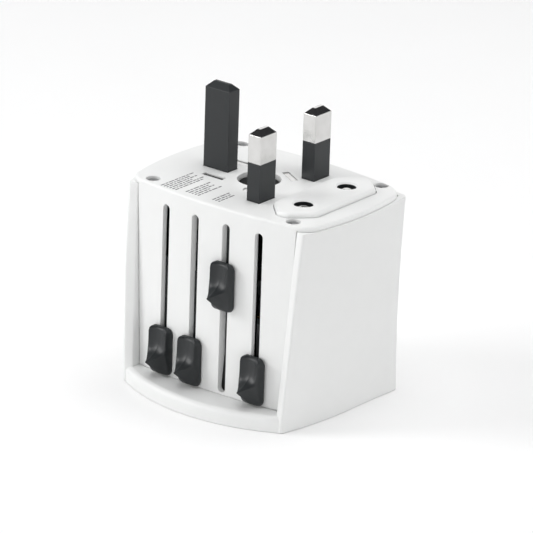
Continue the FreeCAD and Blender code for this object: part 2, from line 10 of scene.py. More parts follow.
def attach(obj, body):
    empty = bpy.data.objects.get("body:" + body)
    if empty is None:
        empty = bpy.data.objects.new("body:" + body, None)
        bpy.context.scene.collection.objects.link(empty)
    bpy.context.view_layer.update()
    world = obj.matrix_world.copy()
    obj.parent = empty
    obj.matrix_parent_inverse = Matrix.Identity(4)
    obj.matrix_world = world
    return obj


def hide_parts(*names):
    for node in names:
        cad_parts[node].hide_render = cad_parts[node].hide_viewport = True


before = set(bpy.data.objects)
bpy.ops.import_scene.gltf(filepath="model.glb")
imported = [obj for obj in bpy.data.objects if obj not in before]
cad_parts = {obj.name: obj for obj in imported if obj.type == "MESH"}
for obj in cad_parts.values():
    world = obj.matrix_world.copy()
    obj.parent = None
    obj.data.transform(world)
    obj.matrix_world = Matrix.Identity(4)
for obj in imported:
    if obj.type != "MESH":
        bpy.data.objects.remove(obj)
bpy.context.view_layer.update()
mm = 0.001
print("frame loaded")


# the camera
viewpoint = {"azimuth": 38.06, "elevation": 21.06, "roll": 1.91, "distance": 1266.2, "shiftRight": -4.8,
             "shiftUp": -20.13, "aim": (6.47, 0.0, 54.5), "lens": 337.7}
azimuth = math.radians(viewpoint["azimuth"])
elevation = math.radians(viewpoint["elevation"])
backward = Vector((math.sin(azimuth) * math.cos(elevation), -math.cos(azimuth) * math.cos(elevation),
                   math.sin(elevation)))
rightward = Vector((math.cos(azimuth), math.sin(azimuth), 0))
upward = backward.cross(rightward)
eye = (backward * viewpoint["distance"] + rightward * viewpoint["shiftRight"] + upward * viewpoint["shiftUp"]
       + Vector(viewpoint["aim"])) * mm
roll = Matrix.Rotation(math.radians(viewpoint["roll"]), 3, "Z")
turn = Matrix((rightward, upward, backward)).transposed() @ roll
cameraData = bpy.data.cameras.new("camera")
cameraData.lens = viewpoint["lens"]
cameraData.sensor_width = 36
cameraData.clip_end = 50
camera = bpy.data.objects.new("camera", cameraData)
camera.matrix_world = Matrix.Translation(eye) @ turn.to_4x4()
bpy.context.scene.collection.objects.link(camera)
bpy.context.scene.camera = camera
bpy.context.scene.view_settings.view_transform = "Standard"


# shader maths
class Value:
    # a socket that can stand in a Python expression
    def __init__(self, tree, socket):
        self.tree = tree
        self.socket = socket

    def math(self, operation, *others):
        node = self.tree.nodes.new("ShaderNodeMath")
        node.operation = operation
        for place, item in enumerate((self, *others)):
            if isinstance(item, Value):
                self.tree.links.new(item.socket, node.inputs[place])
            else:
                node.inputs[place].default_value = item
        return Value(self.tree, node.outputs[0])

    def __add__(self, other):
        return self.math("ADD", other)

    __radd__ = __add__

    def __mul__(self, other):
        return self.math("MULTIPLY", other)

    __rmul__ = __mul__

    def __sub__(self, other):
        return self.math("SUBTRACT", other)

    def __rsub__(self, other):
        return (self * -1.0) + other

    def clamped(self):
        return self.math("MAXIMUM", 0.0).math("MINIMUM", 1.0)


class Recipe:
    # one material and the nodes in it
    def __init__(self, name):
        self.material = bpy.data.materials.new(name)
        self.material.use_nodes = True
        self.tree = self.material.node_tree
        self.surface = self.tree.nodes["Principled BSDF"]
        self.place = self.node("ShaderNodeTexCoord").outputs["Object"]

    def node(self, kind, settings=None, **sockets):
        made = self.tree.nodes.new(kind)
        for name, value in (settings or {}).items():
            setattr(made, name, value)
        for name, value in sockets.items():
            self.feed(made.inputs[name.replace("_", " ")], value)
        return made

    def feed(self, socket, value):
        if isinstance(value, Value):
            value = value.socket
        if isinstance(value, bpy.types.NodeSocket):
            self.tree.links.new(value, socket)
        else:
            socket.default_value = value

    def noise(self, size, detail=3.0, stretch=None):
        # size is the feature size in millimetres
        place = self.place
        if stretch:
            place = self.node("ShaderNodeMapping", Vector=self.place, Scale=stretch).outputs[0]
        made = self.node("ShaderNodeTexNoise", Vector=place, Scale=1.0 / (size * mm), Detail=detail)
        return Value(self.tree, made.outputs["Factor" if "Factor" in made.outputs else "Fac"])

    def edges(self, radius):
        # bright where the surface turns sharply
        softened = self.node("ShaderNodeBevel", {"samples": 4}, Radius=radius * mm)
        plain = self.node("ShaderNodeNewGeometry")
        dot = self.node("ShaderNodeVectorMath", {"operation": "DOT_PRODUCT"})
        self.feed(dot.inputs[0], softened.outputs[0])
        self.feed(dot.inputs[1], plain.outputs["Normal"])
        return ((1.0 - Value(self.tree, dot.outputs["Value"])) * 3.0).clamped()

    def blend(self, amount, first, second):
        made = self.node("ShaderNodeMix", {"data_type": "RGBA"})
        self.feed(made.inputs[0], amount)
        self.feed(made.inputs[6], (*first, 1.0) if isinstance(first, tuple) else first)
        self.feed(made.inputs[7], (*second, 1.0) if isinstance(second, tuple) else second)
        return made.outputs[2]

    def finish(self, colour, roughness, height=None, depth=0.02, soften=0.0, metallic=0.0, **fixed):
        self.feed(self.surface.inputs["Base Color"], colour)
        self.feed(self.surface.inputs["Roughness"], roughness)
        self.feed(self.surface.inputs["Metallic"], metallic)
        normal = None
        if soften:
            normal = self.node("ShaderNodeBevel", {"samples": 6}, Radius=soften * mm).outputs[0]
        if height is not None:
            bump = self.node("ShaderNodeBump", Strength=1.0, Distance=depth * mm, Height=height)
            if normal:
                self.feed(bump.inputs["Normal"], normal)
            normal = bump.outputs[0]
        if normal:
            self.feed(self.surface.inputs["Normal"], normal)
        for name, value in fixed.items():
            self.surface.inputs[name.replace("_", " ")].default_value = value
        return self.material


# main and other are the two shades of the plastic, edge the shade along its rubbed edges
# grain is the size of the surface grain, depth its height and soften the rounding of sharp edges
plasticLook = {
    "bodyWhite": {"main": (0.83, 0.836, 0.83), "other": (0.80, 0.806, 0.80), "edge": (0.88, 0.88, 0.87),
                  "rough": 0.36},
    "charcoal": {"main": (0.013, 0.0155, 0.017), "other": (0.019, 0.022, 0.024), "edge": (0.07, 0.075, 0.08),
                 "rough": 0.36, "grain": 0.16, "depth": 0.010, "soften": 0.25},
    "mattBlack": {"main": (0.008, 0.009, 0.010), "other": (0.012, 0.013, 0.014), "edge": (0.03, 0.03, 0.03),
                  "rough": 0.6},
    "innerGrey": {"main": (0.30, 0.31, 0.31), "other": (0.24, 0.25, 0.25), "edge": (0.38, 0.39, 0.39),
                  "rough": 0.5},
    "glazedCeramic": {"main": (0.80, 0.78, 0.72), "other": (0.76, 0.73, 0.66), "edge": (0.86, 0.84, 0.79),
                      "rough": 0.16, "grain": 0.8},
}


def mouldedPlastic(name, main, other, edge, rough, grain=0.25, depth=0.004, soften=0.3):
    # clouded colour, paler rubbed edges and a fine grain
    look = Recipe(name)
    cloud = look.noise(9.0)
    fine = look.noise(grain, 2.0)
    rim = look.edges(0.45)
    colour = look.blend(look.noise(4.0) * 0.8, main, other)
    colour = look.blend(rim * 0.55 * look.noise(1.2), colour, edge)
    roughness = rough + cloud * 0.10 - rim * 0.05
    return look.finish(colour, roughness, fine, depth, soften, Specular_IOR_Level=0.45)


bodyWhite = mouldedPlastic("bodyWhite", **plasticLook["bodyWhite"])
charcoal = mouldedPlastic("charcoal", **plasticLook["charcoal"])
mattBlack = mouldedPlastic("mattBlack", **plasticLook["mattBlack"])
innerGrey = mouldedPlastic("innerGrey", **plasticLook["innerGrey"])
metalLook = {
    "nickel": {"main": (0.70, 0.695, 0.685), "dull": (0.60, 0.595, 0.58), "rough": 0.07},
    "springBrass": {"main": (0.78, 0.58, 0.27), "dull": (0.60, 0.42, 0.18), "rough": 0.2},
    "screwSteel": {"main": (0.60, 0.60, 0.61), "dull": (0.45, 0.45, 0.46), "rough": 0.28},
}


def platedMetal(name, main, dull, rough):
    # drawing lines along the length and a few dull spots
    look = Recipe(name)
    drawn = look.noise(0.12, 2.0, (1.0, 1.0, 0.06))
    spots = look.noise(2.5, 4.0)
    colour = look.blend((spots * 1.6 - 0.5).clamped(), main, dull)
    return look.finish(colour, rough + drawn * 0.06 + spots * 0.05, drawn, 0.0015, 0.22, 1.0)


nickel = platedMetal("nickel", **metalLook["nickel"])
springBrass = platedMetal("springBrass", **metalLook["springBrass"])
screwSteel = platedMetal("screwSteel", **metalLook["screwSteel"])
glazedCeramic = mouldedPlastic("glazedCeramic", **plasticLook["glazedCeramic"])


def patchyInk(name):
    look = Recipe(name)
    patchy = look.noise(0.5)
    colour = look.blend(patchy, (0.10, 0.10, 0.105), (0.20, 0.20, 0.205))
    return look.finish(colour, 0.45 + patchy * 0.2, patchy, 0.002)


printedInk = patchyInk("printedInk")
print("materials made")


# mesh helpers, all working in millimetres
def meshFrom(bm, name):
    mesh = bpy.data.meshes.new(name)
    bm.to_mesh(mesh)
    bm.free()
    return mesh


def ends(bm, height, spread=0.01):
    # the edges lying flat at a height
    return [edge for edge in bm.edges if all(abs(vert.co.z - height) < spread for vert in edge.verts)]


def upright(bm, least=0.5):
    # the edges that rise by more than this
    return [edge for edge in bm.edges if abs(edge.verts[0].co.z - edge.verts[1].co.z) > least]


def newVerts(made):
    return [item for item in made if isinstance(item, bmesh.types.BMVert)]


def soften(bm, edges, width, segments=3):
    bmesh.ops.bevel(bm, geom=edges, offset=width, segments=segments, affect="EDGES", profile=0.5, material=-1,
                    clamp_overlap=True)


def block(low, high, turned=0.0):
    bm = bmesh.new()
    bmesh.ops.create_cube(bm, size=1.0)
    size = Vector(high) - Vector(low)
    bmesh.ops.scale(bm, vec=size, verts=bm.verts)
    bmesh.ops.rotate(bm, verts=bm.verts, cent=(0, 0, 0), matrix=Matrix.Rotation(math.radians(turned), 3, "Z"))
    bmesh.ops.translate(bm, vec=(Vector(high) + Vector(low)) / 2, verts=bm.verts)
    return bm


def rod(x, y, low, high, radius, topRadius=None, segments=48):
    bm = bmesh.new()
    bmesh.ops.create_cone(bm, cap_ends=True, segments=segments, radius1=radius,
                          radius2=radius if topRadius is None else topRadius, depth=high - low)
    bmesh.ops.translate(bm, vec=(x, y, (low + high) / 2), verts=bm.verts)
    return bm


def carve(bm, cutters, operation="DIFFERENCE"):
    # joins or cuts solids with the Boolean modifier and hands back the result
    scene = bpy.context.scene.collection
    body = bpy.data.objects.new("work", meshFrom(bm, "work"))
    scene.objects.link(body)
    tools = []
    for cutter in cutters:
        bmesh.ops.recalc_face_normals(cutter, faces=cutter.faces)
        tool = bpy.data.objects.new("tool", meshFrom(cutter, "tool"))
        scene.objects.link(tool)
        tools.append(tool)
        step = body.modifiers.new("cut", "BOOLEAN")
        step.operation = operation
        step.solver = "EXACT"
        step.object = tool
    result = bmesh.new()
    evaluated = body.evaluated_get(bpy.context.evaluated_depsgraph_get())
    result.from_mesh(evaluated.to_mesh())
    evaluated.to_mesh_clear()
    for spare in (body, *tools):
        data = spare.data
        bpy.data.objects.remove(spare)
        bpy.data.meshes.remove(data)
    bmesh.ops.remove_doubles(result, verts=result.verts, dist=0.002)
    return result


def piece(bm, name, material, body, slotName, *replaced, smooth=32.0):
    bmesh.ops.dissolve_degenerate(bm, edges=bm.edges, dist=0.001)
    bmesh.ops.recalc_face_normals(bm, faces=bm.faces)
    bmesh.ops.scale(bm, vec=(mm, mm, mm), verts=bm.verts)
    for face in bm.faces:
        face.smooth = True
    mesh = meshFrom(bm, name)
    mesh.set_sharp_from_angle(angle=math.radians(smooth))
    made = bpy.data.objects.new(name, mesh)
    bpy.context.scene.collection.objects.link(made)
    mesh.materials.append(material)
    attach(made, body)
    if replaced:
        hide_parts(*replaced)
    shading = made.modifiers.new("shading", "WEIGHTED_NORMAL")
    shading.keep_sharp = True
    shading.weight = 100
    return made


def bowedSlab(look, low, high):
    # a slab whose four sides bow outwards, with its corners rounded in plan
    bm = bmesh.new()
    wide = look["side"] - look["corner"] ** 2 / (2 * look["sideArc"])
    front = look["front"] - wide ** 2 / (2 * look["frontArc"])
    back = look["back"] - wide ** 2 / (2 * look["backArc"])
    corners = [bm.verts.new(spot) for spot in ((-wide, -front, low), (wide, -front, low), (wide, back, low),
                                               (-wide, back, low))]
    bm.faces.new(corners)
    for pair, radius in ((corners[:2], look["frontRound"]), (corners[2:], look["backRound"])):
        bmesh.ops.bevel(bm, geom=pair, offset=radius, segments=look["cornerSteps"], affect="VERTICES",
                        profile=0.5, material=-1)
    straight = [edge for edge in bm.edges if edge.calc_length() > look["backRound"] + 1]
    bmesh.ops.subdivide_edges(bm, edges=straight, cuts=look["sideCuts"])
    for vert in bm.verts:
        x, y = vert.co.x, vert.co.y
        if y < 0:
            vert.co.y -= (look["front"] - x * x / (2 * look["frontArc"]) - front) * y / -front
        else:
            vert.co.y += (look["back"] - x * x / (2 * look["backArc"]) - back) * y / back
        vert.co.x += (look["side"] - y * y / (2 * look["sideArc"]) - wide) * x / wide
    made = bmesh.ops.extrude_face_region(bm, geom=bm.faces[:])["geom"]
    bmesh.ops.translate(bm, vec=(0, 0, high - low), verts=newVerts(made))
    bmesh.ops.recalc_face_normals(bm, faces=bm.faces)
    return bm


# outer shell: a bowed U of wall whose front rims lean forward into the foot ledge
# three values in brackets are for the top of the ledge, the middle and the top of the wall
shellLook = {
    "top": 53.2, "wall": 2.0, "back": 22.4, "backArc": 130.0, "sideX": (29.0, 30.1, 31.8),
    "backX": (29.2, 28.9, 29.8), "rimX": (26.1, 27.35, 28.3), "rimY": (24.7, 23.5, 21.3),
    "innerX": (23.6, 24.7, 25.7), "innerY": (23.7, 22.2, 20.7), "rimRound": 0.75, "backRound": 2.2,
    "smallRound": 0.35, "columns": 14, "levels": 22,
    "inset": 0.9,  # where the inside of the wall runs in the first, square plan
    "cornerX": 28.0, "cornerY": 19.4,  # the outside back corner in plan
    "innerBack": 4.6, "innerWiden": 4.9,  # inside back corner: its way forward and out
    "flareFrom": 15, "flare": 0.15,  # behind this line the inside widens by this slope
    "ledge": 4.2, "ledgeReach": 31.3, "ledgeArc": 50.0, "ledgeRound": 1.5, "ledgeBack": -20.0,
    "ledgeEnd": (26.2, -24.7), "ledgeLean": 0.06, "socketGap": ((-20.5, -16.5, -1), (20.5, 16.5, 9)),
}


def through(height, low, middle, high):
    # a smooth curve through a value at the top of the ledge, in the middle and at the top of the wall
    t = (height - shellLook["ledge"]) / (shellLook["top"] - shellLook["ledge"])
    return low * (1 - t) * (1 - 2 * t) + middle * 4 * t * (1 - t) + high * t * (2 * t - 1)


def outerPoint(u, v, height):
    # u is the side, -1 or 1, and v runs from the rim at -1 to the back corner at 1
    side = through(height, *shellLook["sideX"])
    if v < 0:
        rimX = through(height, *shellLook["rimX"])
        return Vector((u * (side - (side - rimX) * v * v), v * through(height, *shellLook["rimY"]), height))
    y = v * (shellLook["back"] - shellLook["cornerX"] ** 2 / (2 * shellLook["backArc"]))
    return Vector((u * (side - (side - through(height, *shellLook["backX"])) * v * v), y, height))


def shellWall():
    # a square U is raised in levels, then every point is moved to its place on the bowed wall
    bm = bmesh.new()
    inset = shellLook["inset"]
    outline = [(-1, -1), (-1, 1), (1, 1), (1, -1), (inset, -1), (inset, inset), (-inset, inset), (-inset, -1)]
    bm.faces.new([bm.verts.new((x, y, 0)) for x, y in outline])
    sides = [edge for edge in bm.edges if edge.calc_length() > 0.5]
    bmesh.ops.subdivide_edges(bm, edges=sides, cuts=shellLook["columns"])
    faces = bm.faces[:]
    for level in range(shellLook["levels"]):
        grown = bmesh.ops.extrude_face_region(bm, geom=faces)["geom"]
        if level:  # the faces between two levels would stay inside the wall
            bmesh.ops.delete(bm, geom=faces, context="FACES_ONLY")
        faces = [item for item in grown if isinstance(item, bmesh.types.BMFace)]
        bmesh.ops.translate(bm, vec=(0, 0, shellLook["top"] / shellLook["levels"]), verts=newVerts(grown))
    near = 0.001
    for vert in bm.verts:
        x, y, z = vert.co
        if abs(x) > 1 - near:
            vert.co = outerPoint(math.copysign(1, x), y, z)
        elif y > 1 - near:
            across = outerPoint(1, 1, z).x * x
            vert.co = Vector((across, shellLook["back"] - across ** 2 / (2 * shellLook["backArc"]), z))
        elif abs(x) > inset - near:
            inner = through(z, *shellLook["innerX"])
            innerY = -through(z, *shellLook["innerY"])
            along = innerY + (y + 1) / (1 + inset) * (shellLook["back"] - shellLook["innerBack"] - innerY)
            outer = outerPoint(1, along / (shellLook["cornerY"] if along > 0 else -innerY), z).x
            flare = max(0, along + shellLook["flareFrom"]) * shellLook["flare"]
            across = min(inner + flare, outer - shellLook["wall"])
            vert.co = Vector((math.copysign(across, x), along, z))
        else:
            corner = through(z, *shellLook["innerX"]) + shellLook["innerWiden"]
            across = min(corner, outerPoint(1, 0.92, z).x - shellLook["wall"]) * x / inset
            behind = shellLook["back"] - shellLook["wall"] - across ** 2 / (2 * shellLook["backArc"])
            vert.co = Vector((across, behind, z))
    bmesh.ops.recalc_face_normals(bm, faces=bm.faces)
    return bm


def nearLine(edge, xs, ys, spread=0.15):
    # true for an edge that follows the line through these values
    return all(abs(abs(v.co.x) - through(v.co.z, *xs)) < spread
               and abs(v.co.y + through(v.co.z, *ys)) < spread for v in edge.verts)


wall = shellWall()
rimEdges = [edge for edge in upright(wall) if nearLine(edge, shellLook["rimX"], shellLook["rimY"])]
innerEdges = [edge for edge in upright(wall) if nearLine(edge, shellLook["innerX"], shellLook["innerY"])]
backEdges = [edge for edge in upright(wall) if all(abs(abs(v.co.x) - outerPoint(1, 1, v.co.z).x) < 0.05
                                                   and v.co.y > 15 for v in edge.verts)]
soften(wall, backEdges, shellLook["backRound"], 6)
soften(wall, [edge for edge in rimEdges if edge.is_valid], shellLook["rimRound"], 4)
soften(wall, [edge for edge in innerEdges if edge.is_valid], shellLook["smallRound"], 2)
topRing = [edge for edge in wall.edges if all(v.co.z > shellLook["top"] - 0.01 for v in edge.verts)
           and len(edge.link_faces) == 2 and any(face.calc_center_median().z < shellLook["top"] - 0.2
                                                 for face in edge.link_faces)]
soften(wall, topRing, shellLook["smallRound"], 2)


def ledge():
    # the foot ledge in front of the sliders, with a full front edge
    bm = bmesh.new()
    bmesh.ops.create_circle(bm, cap_ends=True, segments=256, radius=shellLook["ledgeArc"])
    grown = bmesh.ops.extrude_face_region(bm, geom=bm.faces[:])["geom"]
    bmesh.ops.translate(bm, vec=(0, 0, shellLook["ledge"]), verts=newVerts(grown))
    soften(bm, ends(bm, shellLook["ledge"]), shellLook["ledgeRound"], 5)
    bmesh.ops.translate(bm, vec=(0, shellLook["ledgeArc"] - shellLook["ledgeReach"], 0), verts=bm.verts)
    endX, endY = shellLook["ledgeEnd"]
    lean = shellLook["ledgeLean"]
    cuts = (((0, shellLook["ledgeBack"], 0), (0, 1, 0)), ((endX, endY, 0), (1, lean, 0)),
            ((-endX, endY, 0), (-1, lean, 0)))
    for spot, facing in cuts:
        geometry = bm.verts[:] + bm.edges[:] + bm.faces[:]
        made = bmesh.ops.bisect_plane(bm, geom=geometry, plane_co=spot, plane_no=facing, clear_outer=True)
        rim = [item for item in made["geom_cut"] if isinstance(item, bmesh.types.BMEdge)]
        bmesh.ops.edgeloop_fill(bm, edges=rim)
    return bm


shellMesh = carve(wall, [ledge()], "UNION")
shellMesh = carve(shellMesh, [block(*shellLook["socketGap"])])
piece(shellMesh, "shellSkin", bodyWhite, "base", "white_plastic", "outer_shell")
print("outer shell made")


# core: slider face and plug face
coreLook = {
    "side": 31.1, "sideArc": 80.0, "front": 22.9, "frontArc": 150.0, "back": 21.9, "backArc": 130.0,
    "corner": 20.0, "frontRound": 3.4, "backRound": 5.0, "cornerSteps": 7, "sideCuts": 30,
    "plateFoot": 53.28, "top": 54.5, "edge": 0.8, "wall": 0.9, "roof": 2.2,
    "foot": 4.3, "bodyTop": 53.5, "bodyBack": 19.6, "bodyCuts": 39, "shellGap": 0.13,
    "hollowSide": 22.2, "hollowFront": -19.9, "hollowBack": 17.0, "hollowFoot": 3,
    "slotWidth": 2.3, "slotLow": 4.9, "slotHigh": 50.4, "slots": (-15.0, -5.0, 5.0, 15.0),
    "screws": ((22.7, -18.3), (-22.7, -18.3), (22.7, 17.8), (-22.7, 17.8)),
    "dimple": 1.85, "dimpleDeep": 1.4, "screwBore": 1.15, "fuseX": -2.9, "fuseHole": 5.7,
    # each opening's middle, the size of the pin in it and its turn: earth, line, American, Australian
    "pins": (((-15.7, 0.0), (7.95, 3.975), 0), ((6.5, 11.1), (3.975, 6.35), 0),
             ((-12.6, 6.35), (6.35, 1.5), 0), ((1.7, 6.85), (6.35, 1.63), 30)),
    "pinGap": 0.15, "plugDeep": 4,
}
above = coreLook["top"] + 1.5  # cutters for the plug face end clear of it


def faceReach(x):
    # how far the bowed slider face stands in front of the middle
    return coreLook["front"] - x * x / (2 * coreLook["frontArc"])


def coreBody():
    # the part below the plug face: its front runs between the two rims
    bm = bmesh.new()
    foot = coreLook["foot"]
    square = ((-1, -1), (1, -1), (1, 1), (-1, 1))
    bm.faces.new([bm.verts.new((x, y, foot)) for x, y in square])
    bmesh.ops.subdivide_edges(bm, edges=bm.edges, cuts=coreLook["bodyCuts"])
    grown = bmesh.ops.extrude_face_region(bm, geom=bm.faces[:])["geom"]
    bmesh.ops.translate(bm, vec=(0, 0, coreLook["bodyTop"] - foot), verts=newVerts(grown))
    for vert in bm.verts:
        x, y, z = vert.co
        across = x * (through(z, *shellLook["innerX"]) - coreLook["shellGap"])
        front = -faceReach(across)
        rear = coreLook["bodyBack"] - across ** 2 / (2 * coreLook["backArc"])
        vert.co = Vector((across, front + (y + 1) / 2 * (rear - front), z))
    bmesh.ops.recalc_face_normals(bm, faces=bm.faces)
    return bm


core = coreBody()
plate = bowedSlab(coreLook, coreLook["plateFoot"], coreLook["top"])
soften(plate, ends(plate, coreLook["top"]), coreLook["edge"], 5)
ceiling = coreLook["top"] - coreLook["roof"]
hollow = block((-coreLook["hollowSide"], coreLook["hollowFront"], coreLook["hollowFoot"]),
               (coreLook["hollowSide"], coreLook["hollowBack"], ceiling))
bmesh.ops.subdivide_edges(hollow, edges=[e for e in hollow.edges if e.calc_length() > 44], cuts=24)
for vert in hollow.verts:
    if vert.co.y < coreLook["hollowFront"] + 0.9:  # the front of the hollow follows the slider face
        vert.co.y = coreLook["wall"] - faceReach(vert.co.x)
    vert.co.x *= 1.0 if vert.co.z > 20 else 0.97  # and its foot is a little narrower
core = carve(core, [plate], "UNION")
cutters = [hollow]
for x in coreLook["slots"]:
    tall = block((x - coreLook["slotWidth"] / 2, -24, coreLook["slotLow"]),
                 (x + coreLook["slotWidth"] / 2, -19, coreLook["slotHigh"]))
    level = [edge for edge in tall.edges if abs(edge.verts[0].co.y - edge.verts[1].co.y) > 2]
    soften(tall, level, coreLook["slotWidth"] / 2 - 0.02, 5)  # nearly half round at both ends
    cutters.append(tall)
core = carve(core, cutters)

# the European block and its opening share one outline
blockLook = {"top": 55.7, "foot": 29.7, "edge": 1.1, "pitch": 17.6, "x": 18.4, "halfWidth": 6.85,
             "halfLength": 17.65, "cut": 5.4, "cutRound": 0.9, "gap": 0.22, "inset": 1.5, "roof": 3.0,
             "hole": 2.45, "chamfer": 0.45, "chamferWide": 0.75, "notch": ((13.2, -20, 28), (16.9, -9, 35.5))}


def euroOutline(grow, low, high):
    # a long bar with cut corners, each corner softened
    x = blockLook["x"]
    wide = blockLook["halfWidth"] + grow
    long = blockLook["halfLength"] + grow
    bm = block((x - wide, -long, low), (x + wide, long, high))
    soften(bm, upright(bm, 1), blockLook["cut"] + grow * 0.6, 1)
    soften(bm, upright(bm, 1), max(0.3, blockLook["cutRound"] + grow), 4)
    return bm


plugFoot = coreLook["top"] - coreLook["plugDeep"]
openings = [rod(coreLook["fuseX"], 0, plugFoot, above, coreLook["fuseHole"], segments=96)]
for (x, y), (wide, deep), turned in coreLook["pins"]:
    halfX = wide / 2 + coreLook["pinGap"]
    halfY = deep / 2 + coreLook["pinGap"]
    for side in (-1, 1) if y else (1,):
        openings.append(block((x - halfX, side * y - halfY, plugFoot), (x + halfX, side * y + halfY, above),
                              turned=-side * turned))
openings.append(euroOutline(blockLook["gap"], plugFoot, above))
core = carve(core, openings)
dimples = []
for x, y in coreLook["screws"]:
    dimples.append(rod(x, y, coreLook["top"] - coreLook["dimpleDeep"], above, coreLook["dimple"] - 0.15,
                       coreLook["dimple"] + 0.2))
    dimples.append(rod(x, y, 48, above, coreLook["screwBore"]))
core = carve(core, dimples)
# painted shade: the walls inside the hollow behind the slots take the charcoal finish, so the slots look dark
# inside
for face in core.faces:
    spot = face.calc_center_median()
    behindFace = spot.y > coreLook["wall"] - 0.05 - faceReach(spot.x)
    betweenSides = abs(spot.x) < coreLook["hollowSide"] + 0.05 and spot.y < coreLook["hollowBack"] + 0.05
    slotWall = spot.y < -19.5 and min(abs(spot.x - x) for x in coreLook["slots"]) < 1.2
    if behindFace and betweenSides and not slotWall and spot.z < ceiling + 0.02:
        face.material_index = 1
coreSkin = piece(core, "coreSkin", bodyWhite, "base", "white_plastic", "core_cover", smooth=34)
coreSkin.data.materials.append(charcoal)
print("core made")


# thumb knobs: a beak under a spoon-shaped dish, all on one rounded plate
knobLook = {"width": 7.0, "tall": 13.0, "round": 1.7, "edge": 0.9, "gap": 0.45, "foot": 1.4, "tip": 7.2,
            "tipHeight": 5.0, "creaseRise": 1.4, "dish": 1.6, "dishRise": 1.0, "dishFall": 1.45,
            "shoulder": 2.9, "rim": 2.75, "rimHeight": 1.25, "columns": 44, "rows": 80, "drawnIn": 4.5,
            "drawnOut": 27.4}


def knobHeight(x, z):
    # how far the thumb face stands out: a straight facet up to the beak, then the dish above it
    a = min(abs(x) / knobLook["rim"], 1.0)
    crease = knobLook["tipHeight"] + knobLook["creaseRise"] * a ** 1.2
    ridge = knobLook["tip"] - (knobLook["tip"] - knobLook["shoulder"]) * a ** 0.85
    if z <= crease:
        height = knobLook["foot"] + (ridge - knobLook["foot"]) * (max(z, 0) / crease) ** 1.05
    else:
        dish = knobLook["dish"] + knobLook["dishRise"] * a ** 2.5
        height = dish + (ridge - dish) * math.exp(-(z - crease) / knobLook["dishFall"])
    if abs(x) > knobLook["rim"]:
        flank = (abs(x) - knobLook["rim"]) / (knobLook["width"] / 2 - knobLook["rim"])
        height -= (height - knobLook["rimHeight"]) * flank ** 1.4
    return height


def makeKnob(name, x, foot, body, node):
    # a flat grid gets rounded corners and a back, and its front points then take their heights
    bm = bmesh.new()
    bmesh.ops.create_grid(bm, x_segments=knobLook["columns"], y_segments=knobLook["rows"], size=0.5)
    half = knobLook["width"] / 2
    tall = knobLook["tall"]
    rounding = knobLook["round"]
    edge = knobLook["edge"]
    bmesh.ops.scale(bm, vec=(knobLook["width"], tall, 1), verts=bm.verts)
    for vert in bm.verts:
        away = Vector((abs(vert.co.x) - half + rounding, abs(vert.co.y) - tall / 2 + rounding))
        if away.x > 0 and away.y > 0:
            kept = away * (max(away.x, away.y) / away.length)
            vert.co.x = math.copysign(half - rounding + kept.x, vert.co.x)
            vert.co.y = math.copysign(tall / 2 - rounding + kept.y, vert.co.y)
    rearVerts = set(newVerts(bmesh.ops.extrude_face_region(bm, geom=bm.faces[:])["geom"]))
    for vert in bm.verts:
        z = vert.co.y + tall / 2
        if vert in rearVerts:
            vert.co.z = 0
            continue
        nearest = min(half - abs(vert.co.x), z, tall - z)  # the way to the outline
        corner = Vector((max(0, abs(vert.co.x) - half + rounding),
                         max(0, abs(vert.co.y) - tall / 2 + rounding)))
        nearest = min(nearest, rounding - corner.length) if corner.x and corner.y else nearest
        nearest = max(0.0, nearest)
        drop = 0.0 if nearest > edge else edge - math.sqrt(max(0, edge ** 2 - (edge - nearest) ** 2))
        vert.co.z = knobHeight(vert.co.x, z) - drop - knobLook["gap"]
    bmesh.ops.rotate(bm, verts=bm.verts, cent=(0, 0, 0), matrix=Matrix.Rotation(math.radians(90), 3, "X"))
    bmesh.ops.translate(bm, vec=(x, -faceReach(x) - knobLook["gap"], foot + tall / 2), verts=bm.verts)
    piece(bm, name, charcoal, body, "dark_plastic", node, smooth=26)


usX, auX, ukX, euroX = coreLook["slots"]
makeKnob("usKnobSkin", usX, knobLook["drawnIn"], "us_plug", "us_knob")
makeKnob("auKnobSkin", auX, knobLook["drawnIn"], "au_plug", "au_knob")
makeKnob("ukKnobSkin", ukX, knobLook["drawnOut"], "uk_plug", "uk_knob")
makeKnob("euroKnobSkin", euroX, knobLook["drawnIn"], "euro_pins", "euro_knob")
print("knobs made")


# European plug block
euro = euroOutline(0.0, blockLook["foot"], blockLook["top"])
soften(euro, ends(euro, blockLook["top"]), blockLook["edge"], 5)
bores = []
for y in (-blockLook["pitch"] / 2, blockLook["pitch"] / 2):
    bores.append(rod(blockLook["x"], y, 28, 57, blockLook["hole"]))
    bores.append(rod(blockLook["x"], y, blockLook["top"] - blockLook["chamfer"], blockLook["top"] + 0.3,
                     blockLook["hole"], blockLook["hole"] + blockLook["chamferWide"]))
well = euroOutline(-blockLook["inset"], 28, blockLook["top"] - blockLook["roof"])
armNotch = block(*blockLook["notch"])  # lets the arm of the carriage in
euro = carve(euro, [well, armNotch])
euro = carve(euro, bores)
# painted shade: the walls of the pin holes below their chamfers take the charcoal finish, darkening the
# inside of the holes
for face in euro.faces:
    spot = face.calc_center_median()
    around = math.hypot(spot.x - blockLook["x"], abs(spot.y) - blockLook["pitch"] / 2)
    if around < blockLook["hole"] + 0.05 and spot.z < blockLook["top"] - 0.3 and abs(face.normal.z) < 0.3:
        face.material_index = 1
euroSkin = piece(euro, "euroBlockSkin", bodyWhite, "euro_riser", "white_plastic", "euro_block")
euroSkin.data.materials.append(charcoal)

